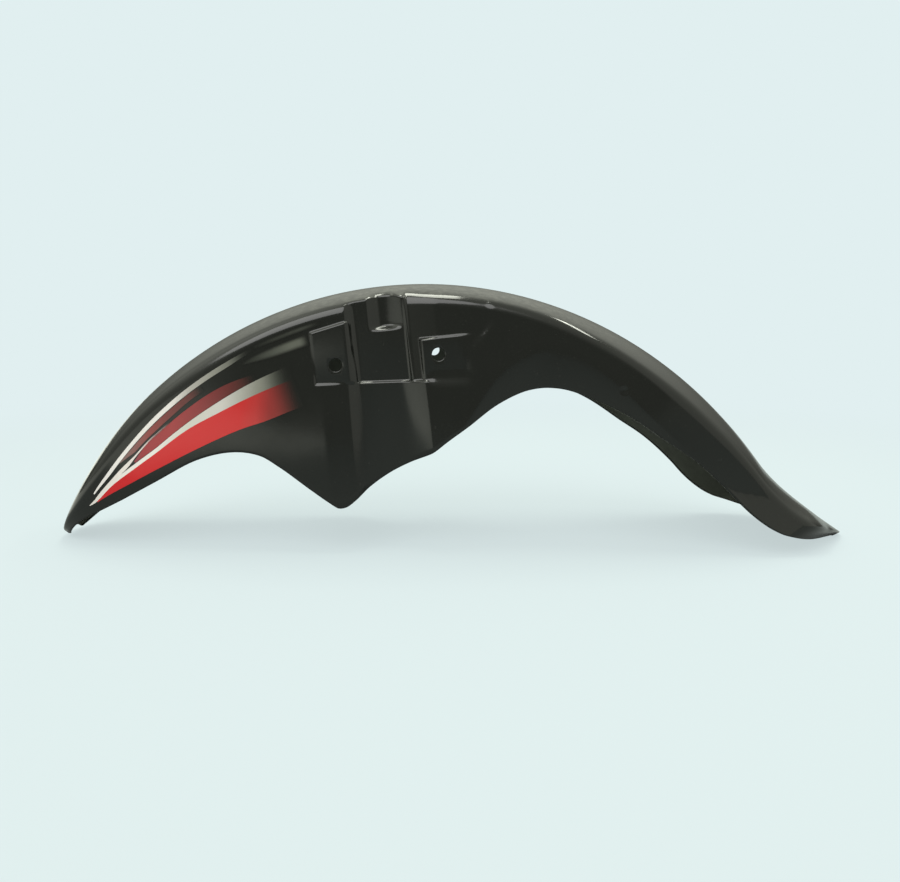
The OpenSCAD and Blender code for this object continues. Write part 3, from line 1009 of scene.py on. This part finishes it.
@dataclass(frozen=True)
class StripeFilm:
    """Printed cast vinyl under a clear layer: even gloss, with tones that run into each other along it.

    A soft print also fades into the plastic's black over a share of its width at each side.
    The soft grey wedge and streak use this material as painted reflections.
    """

    piece: str
    tones: Tones
    soft: float = 0.0
    end: float = 0.14
    roughness: float = 0.13
    ior: float = 1.5
    grain_mm: float = 0.9
    uneven_mm: float = 2.0

    def make(self) -> bpy.types.Material:
        """Builds the material.

        Returns:
            The material.
        """
        # The wedge and the streak get painted reflections from this material; the other films get print
        material, tree = new_material("printed_vinyl_" + self.piece)
        place = add_node(tree, "ShaderNodeTexCoord").outputs["Object"]
        along = add_node(tree, "ShaderNodeSeparateXYZ", {"Vector": place})
        # A little unevenness where the print fades out, as in a sprayed edge
        grain = add_node(tree, "ShaderNodeTexNoise", {
            "Vector": place, "Scale": 1 / (self.grain_mm * MM), "Detail": 2.0,
        })
        shift = add_node(tree, "ShaderNodeMath", {
            0: grain.outputs["Fac"], 1: 2 * self.uneven_mm * MM, 2: -self.uneven_mm * MM,
        }, operation="MULTIPLY_ADD")
        where = add_node(tree, "ShaderNodeMath", {
            0: along.outputs["X"], 1: shift.outputs["Value"],
        }, operation="ADD")
        first, last = self.tones[0][0], self.tones[-1][0]
        share = add_node(tree, "ShaderNodeMapRange", {
            "Value": where.outputs["Value"], "From Min": first * MM, "From Max": last * MM,
        })
        ramp = add_node(tree, "ShaderNodeValToRGB", {"Fac": share.outputs["Result"]})
        stops = ramp.color_ramp.elements
        while len(stops) < len(self.tones):
            stops.new(0.5)
        for stop, (x, colour) in zip(stops, self.tones):
            stop.position = (x - first) / (last - first)
            stop.color = linear(colour)
        shader = add_node(tree, "ShaderNodeBsdfPrincipled", {
            "Base Color": self.faded(tree, ramp.outputs["Color"]), "Roughness": self.roughness,
            "IOR": self.ior,
        })
        add_node(tree, "ShaderNodeOutputMaterial", {"Surface": shader.outputs["BSDF"]})
        return material

    def faded(self, tree: bpy.types.NodeTree, colour: bpy.types.NodeSocket) -> bpy.types.NodeSocket:
        """Fades the print into the plastic at its rear end and, where it is soft, across its width.

        Args:
            tree: the material's node tree.
            colour: the print's colour.

        Returns:
            The colour to shade with.
        """
        place = add_node(tree, "ShaderNodeTexCoord").outputs["UV"]
        along, across, _ = add_node(tree, "ShaderNodeSeparateXYZ", {"Vector": place}).outputs
        share = add_node(tree, "ShaderNodeMapRange", {
            "Value": along, "From Min": 0.0, "From Max": self.end,
        }, **SMOOTH).outputs["Result"]
        if self.soft:
            other = add_node(tree, "ShaderNodeMath", {0: 1.0, 1: across}, operation="SUBTRACT")
            nearer = add_node(tree, "ShaderNodeMath", {
                0: across, 1: other.outputs["Value"],
            }, operation="MINIMUM")
            inside = add_node(tree, "ShaderNodeMapRange", {
                "Value": nearer.outputs["Value"], "From Min": 0.0, "From Max": self.soft,
            }, **SMOOTH).outputs["Result"]
            both = add_node(tree, "ShaderNodeMath", {0: share, 1: inside}, operation="MULTIPLY")
            share = both.outputs["Value"]
        return add_node(tree, "ShaderNodeMix", {
            "Factor": share, "A": linear(PLASTIC), "B": colour,
        }, data_type="RGBA").outputs["Result"]


@dataclass
class Trim:
    """The stripe films of both sides, with the prints and the painted reflections that have no node."""

    arch: Arch
    film_part: float = 0.3
    red_low: Line = Line((
        (112, 78.5), (118.4, 76.5), (123.8, 71.3), (130.5, 64.2), (136.2, 56), (142.5, 43), (149, 25.2),
    ))
    red_top: Line = Line((
        (112, 56.4), (118.4, 54.5), (124.7, 51.6), (130.8, 46.6), (136.3, 42.9), (141, 37), (145.5, 29.3),
        (149.2, 24), (150.2, 20.7),
    ))
    silver_top: Line = Line((
        (112, 45.5), (117.4, 45), (123.7, 44.3), (130.1, 42.6), (135.8, 40.2), (140.4, 34.9), (143.3, 30.5),
        (146.8, 25.7), (150.2, 20.2),
    ))
    thin_top: Line = Line((
        (117.4, 40), (122.6, 35.8), (125.8, 34.6), (131.9, 33.5), (136.8, 32), (140.4, 33),
    ))
    upper_low: Line = Line((
        (116, 23.5), (121.3, 25.2), (127.4, 25.1), (133, 25.1), (138, 24.8), (143.8, 23.8), (148.2, 20.3),
    ))
    upper_top: Line = Line((
        (116, 21), (121.3, 21.3), (127, 21.3), (132.5, 21.6), (137.4, 21.8), (143, 21.2), (148.2, 19.2),
    ))
    dark_low: Line = Line((
        (125.2, 30.8), (128.2, 30.5), (131.4, 30.9), (133.9, 30.7), (136.4, 29.9), (139.1, 29.3),
        (140.5, 27.3), (142, 25),
    ))
    dark_top: Line = Line(((125.2, 25.4), (133, 25.4), (138, 25.1), (142, 24.4)))
    hair_low: Line = Line((
        (131.9, 33.7), (134.4, 33.4), (136.9, 32.2), (139.6, 31.8), (141.2, 32), (143.4, 30.4), (145.1, 28.3),
        (146.9, 25.7), (148.7, 22.9),
    ))
    hair_top: Line = Line((
        (131.9, 32.8), (134.2, 32.3), (136.6, 31.2), (139.4, 30.7), (141.1, 29.4), (142.8, 27.9),
        (144.6, 26.5), (146.5, 24.6), (148.7, 22.4),
    ))
    # Bounds of the soft grey wedge and streak, which are painted reflections on the front side
    wedge_low: Line = Line(((107.8, 36.2), (111, 36), (113.4, 35.1), (116.2, 32.6), (118.5, 29.4)))
    wedge_top: Line = Line(((107.8, 26.4), (110.4, 26.6), (112.8, 26.6), (115.7, 26.8), (118.5, 28.4)))
    streak_low: Line = Line(((105.4, 23.2), (108.5, 24), (111.6, 24.2), (115.8, 23)))
    streak_top: Line = Line(((105.4, 19.4), (108.5, 19.6), (111.6, 19.8), (115.8, 19.8)))
    red_tones: Tones = (
        (-300, "#c41a20"), (-200, "#c31a1e"), (-168, "#bd1e20"), (-155, "#ae2d2c"), (-145, "#8a2c2a"),
        (-129, "#662b27"), (-119, "#3a1d1c"), (-112, PLASTIC),
    )
    silver_tones: Tones = (
        (-300, "#e6dfdb"), (-235, "#e2dcd7"), (-209, "#c8c5bc"), (-182, "#c4c0bb"), (-169, "#a9a8a1"),
        (-155, "#85857c"), (-141, "#5c5e56"), (-126, PLASTIC),
    )
    upper_tones: Tones = (
        (-290, "#e6e1df"), (-222, "#ddd8d5"), (-208, "#aaa6a0"), (-190, "#8a8981"), (-172, "#5c5d56"),
        (-158, PLASTIC),
    )
    thin_tones: Tones = (
        (-255, "#6c3a48"), (-244, "#942a30"), (-221, "#983033"), (-196, "#7c2a2c"), (-169, "#4c2320"),
        (-148, "#2a1c18"), (-130, PLASTIC),
    )
    dark_tones: Tones = (
        (-262, "#76605c"), (-238, "#853634"), (-225, "#702e2c"), (-208, "#582826"), (-190, "#3a2724"),
        (-172, PLASTIC),
    )
    hair_tones: Tones = (
        (-285, "#e6dfdb"), (-246, "#e0d6d1"), (-238, "#b8a7a4"), (-228, "#8f7a77"), (-212, "#2a201e"),
    )
    # Tones of the painted reflections: the wedge and the streak
    wedge_tones: Tones = (
        (-167, PLASTIC), (-155, "#30322d"), (-141, "#484a44"), (-128, "#5a5c54"), (-114, "#585a53"),
    )
    streak_tones: Tones = ((-158, PLASTIC), (-140, "#2c2e29"), (-120, "#363833"), (-106, PLASTIC))

    def pieces(self) -> list[Stripe]:
        """Lists the films of both sides.

        Returns:
            The films, and then the prints and the painted reflections that have no node.
        """
        thin_low = Line(tuple((a, d - self.film_part) for a, d in self.silver_top.pairs[1:6]))
        # The last two columns, for a film without a node: how soft its sides are, and that it has no node
        rows = (
            ("red_stripe", self.red_low, self.red_top, Slot.RED, self.red_tones),
            ("silver_stripe", self.red_top, self.silver_top, Slot.SILVER, self.silver_tones),
            ("upper_stripe", self.upper_low, self.upper_top, Slot.SILVER, self.upper_tones),
            ("thin_stripe", thin_low, self.thin_top, Slot.RED, self.thin_tones),
            ("dark_band", self.dark_low, self.dark_top, Slot.RED, self.dark_tones, 0.12, True),
            ("hairline", self.hair_low, self.hair_top, Slot.SILVER, self.hair_tones, 0.0, True),
            # The soft grey wedge and streak are painted reflections of light on the front side, laid on as
            # film
            ("grey_wedge", self.wedge_low, self.wedge_top, Slot.SILVER, self.wedge_tones, 0.4, True),
            ("grey_streak", self.streak_low, self.streak_top, Slot.SILVER, self.streak_tones, 0.5, True),
        )
        return [
            Stripe(self.arch, f"{name}_{side.name.lower()}", side, *rest)
            for name, *rest in rows
            for side in Side
        ]


@dataclass
class Studio:
    """Camera, pale floor, world and lamps."""

    arch: Arch
    backdrop: str = "#e1eff0"
    room_tint: str = "#fcfff1"
    floor_paint: str = "#afb9bd"
    floor_grey: str = "#8c9192"
    floor_white: str = "#eceeea"
    floor_glow: float = 0.7
    shadow_mm: tuple[float, float] = (450.0, 1300.0)
    card_mm: tuple[float, float] = (-520.0, -380.0)
    eye: tuple[float, float, float] = (-13.7, -641.0, 294.5)
    scale_mm: float = 0.84
    frame_px: tuple[int, int] = (900, 882)
    vanish_px: tuple[float, float] = (408.0, 324.0)
    sensor_mm: float = 36.0
    floor_half_mm: float = 6000.0

    def camera(self) -> None:
        """Places the camera at the photograph's viewpoint, square to the side."""
        data = bpy.data.cameras.new("camera")
        wide, high = self.frame_px
        data.sensor_width = self.sensor_mm
        data.lens = self.sensor_mm * -self.eye[1] / (self.scale_mm * wide)
        data.shift_x = (wide / 2 - self.vanish_px[0]) / wide
        data.shift_y = (self.vanish_px[1] - high / 2) / wide
        data.clip_start, data.clip_end = 10 * MM, 60.0
        camera = bpy.data.objects.new("camera", data)
        x0, z0 = self.arch.axle
        camera.location = ((x0 + self.eye[0]) * MM, self.eye[1] * MM, (z0 + self.eye[2]) * MM)
        camera.rotation_euler = (math.pi / 2, 0, 0)
        bpy.context.scene.collection.objects.link(camera)
        bpy.context.scene.camera = camera

    def floor(self) -> None:
        """Lays the floor: pale to the camera, and a plain card to the light that it sends up.

        The card is grey, and white on the nose's side, which lightens what the nose mirrors.
        """
        h = self.floor_half_mm
        corners = np.array([(-h, -h, 0), (h, -h, 0), (h, h, 0), (-h, h, 0)], float)
        floor = new_mesh("floor", corners, [(0, 1, 2, 3)])
        material, tree = new_material("painted_floor")
        lit = add_node(tree, "ShaderNodeBsdfDiffuse", {"Color": linear(self.floor_paint)})
        glow = add_node(tree, "ShaderNodeEmission", {"Color": linear(self.backdrop), "Strength": 1.0})
        place = add_node(tree, "ShaderNodeTexCoord").outputs["Object"]
        far = add_node(tree, "ShaderNodeVectorMath", {0: place}, operation="LENGTH").outputs["Value"]
        along = add_node(tree, "ShaderNodeSeparateXYZ", {"Vector": place}).outputs["X"]
        # Each row says what is followed, where it begins and ends, and what it goes from and to
        share, grey = [
            add_node(tree, "ShaderNodeMapRange", dict(enumerate(row)), **SMOOTH).outputs["Result"]
            for row in (
                # Further off the floor takes the backdrop's own colour, so that no horizon shows
                (far, self.shadow_mm[0] * MM, self.shadow_mm[1] * MM, self.floor_glow, 1.0),
                (along, self.card_mm[0] * MM, self.card_mm[1] * MM, 0.0, 1.0),
            )
        ]
        tone = add_node(tree, "ShaderNodeMix", {
            "Factor": grey, "A": linear(self.floor_white), "B": linear(self.floor_grey),
        }, data_type="RGBA").outputs["Result"]
        card = add_node(tree, "ShaderNodeBsdfDiffuse", {"Color": tone})
        seen = add_node(tree, "ShaderNodeMixShader", {0: share, 1: lit.outputs[0], 2: glow.outputs[0]})
        both = add_node(tree, "ShaderNodeMixShader", {
            0: add_node(tree, "ShaderNodeLightPath").outputs["Is Camera Ray"],
            1: card.outputs[0], 2: seen.outputs[0],
        })
        add_node(tree, "ShaderNodeOutputMaterial", {"Surface": both.outputs[0]})
        floor.data.materials.append(material)

    def world(self) -> None:
        """A pale backdrop to the camera, and soft room light that is brighter overhead."""
        world = bpy.data.worlds.new("studio")
        world.use_nodes = True
        tree = world.node_tree
        tree.nodes.clear()
        way = add_node(tree, "ShaderNodeTexCoord").outputs["Generated"]
        x, y, z = add_node(tree, "ShaderNodeSeparateXYZ", {"Vector": way}).outputs
        # Each row says what is followed, where it begins and ends, and what it goes from and to.
        # In front the room is dim where the viewer stands, lighter to both sides, and lightest overhead
        # above the nose. Behind is a wall that gets lighter with height, which the crown mirrors as one
        # grey band.
        lift, high, fore, aft, behind, turn = [
            add_node(tree, "ShaderNodeMapRange", dict(enumerate(row)), **SMOOTH).outputs["Result"]
            for row in (
                (z, 0.15, 0.8, 0.0, 1.0),
                (x, -0.6, 0.0, 1.8, 0.8),
                (x, -0.52, -0.24, 0.7, 0.3),
                (x, 0.36, 0.52, 0.0, 0.45),
                (z, 0.05, 0.75, 0.18, 1.1),
                (y, 0.0, 0.4, 0.0, 1.0),
            )
        ]
        low = add_node(tree, "ShaderNodeMath", {0: fore, 1: aft}, operation="ADD").outputs["Value"]
        ahead = add_node(tree, "ShaderNodeMix", {"Factor": lift, "A": low, "B": high}).outputs["Result"]
        level = add_node(tree, "ShaderNodeMix", {"Factor": turn, "A": ahead, "B": behind}).outputs["Result"]
        room = add_node(tree, "ShaderNodeBackground", {"Color": linear(self.room_tint), "Strength": level})
        seen = add_node(tree, "ShaderNodeBackground", {"Color": linear(self.backdrop), "Strength": 1.0})
        both = add_node(tree, "ShaderNodeMixShader", {
            0: add_node(tree, "ShaderNodeLightPath").outputs["Is Camera Ray"],
            1: room.outputs[0], 2: seen.outputs[0],
        })
        add_node(tree, "ShaderNodeOutputWorld", {"Surface": both.outputs[0]})
        bpy.context.scene.world = world

    def lamp(self, name: str, place: tuple[float, float, float], aim: tuple[float, float, float],
             size: tuple[float, float], watts: float) -> None:
        """Hangs one soft box.

        Args:
            name: the lamp's name.
            place: its middle, in mm.
            aim: the point that it faces, in mm.
            size: its width and height, in mm.
            watts: its power.
        """
        data = bpy.data.lights.new(name, "AREA")
        data.shape, data.size, data.size_y, data.energy = "RECTANGLE", size[0] * MM, size[1] * MM, watts
        data.color = linear(self.room_tint)[:3]
        lamp = bpy.data.objects.new(name, data)
        way = Vector(aim) - Vector(place)
        lamp.location = Vector(place) * MM
        lamp.rotation_euler = way.to_track_quat("-Z", "Y").to_euler()
        lamp.visible_camera = False
        bpy.context.scene.collection.objects.link(lamp)

    def sun(self, name: str, aim: tuple[float, float, float], strength: float, wide_deg: float) -> None:
        """Hangs a wide, far soft light, which lights the whole floor evenly.

        Args:
            name: the lamp's name.
            aim: the way that its light goes.
            strength: its power on a square metre that faces it, in watts.
            wide_deg: how wide it looks from the object.
        """
        data = bpy.data.lights.new(name, "SUN")
        data.energy, data.angle = strength, math.radians(wide_deg)
        lamp = bpy.data.objects.new(name, data)
        lamp.rotation_euler = Vector(aim).to_track_quat("-Z", "Y").to_euler()
        bpy.context.scene.collection.objects.link(lamp)

    def lamps(self) -> None:
        """Hangs the wide key light, and the box and the tube that the shoulder and the rear crown mirror."""
        self.sun("key_light", aim=(0.25, 0.7, -0.75), strength=1.7, wide_deg=50)
        self.lamp("box_over", place=(-20, 150, 1500), aim=(-20, 0, 200), size=(430, 850), watts=12)
        self.lamp("tube_aft", place=(740, 110, 1250), aim=(90, 0, 180), size=(700, 70), watts=2.6)


def main() -> None:
    """Builds and dresses every piece."""
    logging.basicConfig(level=logging.INFO, format="%(name)s: %(message)s")
    arch = Arch()
    studio = Studio(arch)
    bpy.context.scene.view_settings.view_transform = "Standard"
    studio.camera()
    shell = Shell(arch, ForkSeat(arch))
    piece = shell.build()
    shell.dress(piece)
    log.info("%s: %d faces", piece.name, len(piece.data.polygons))
    for stripe in Trim(arch).pieces():
        film = stripe.build()
        stripe.dress(film)
        log.info("%s: %d faces", film.name, len(film.data.polygons))
    studio.floor()
    studio.world()
    studio.lamps()


if __name__ == "__main__":
    main()
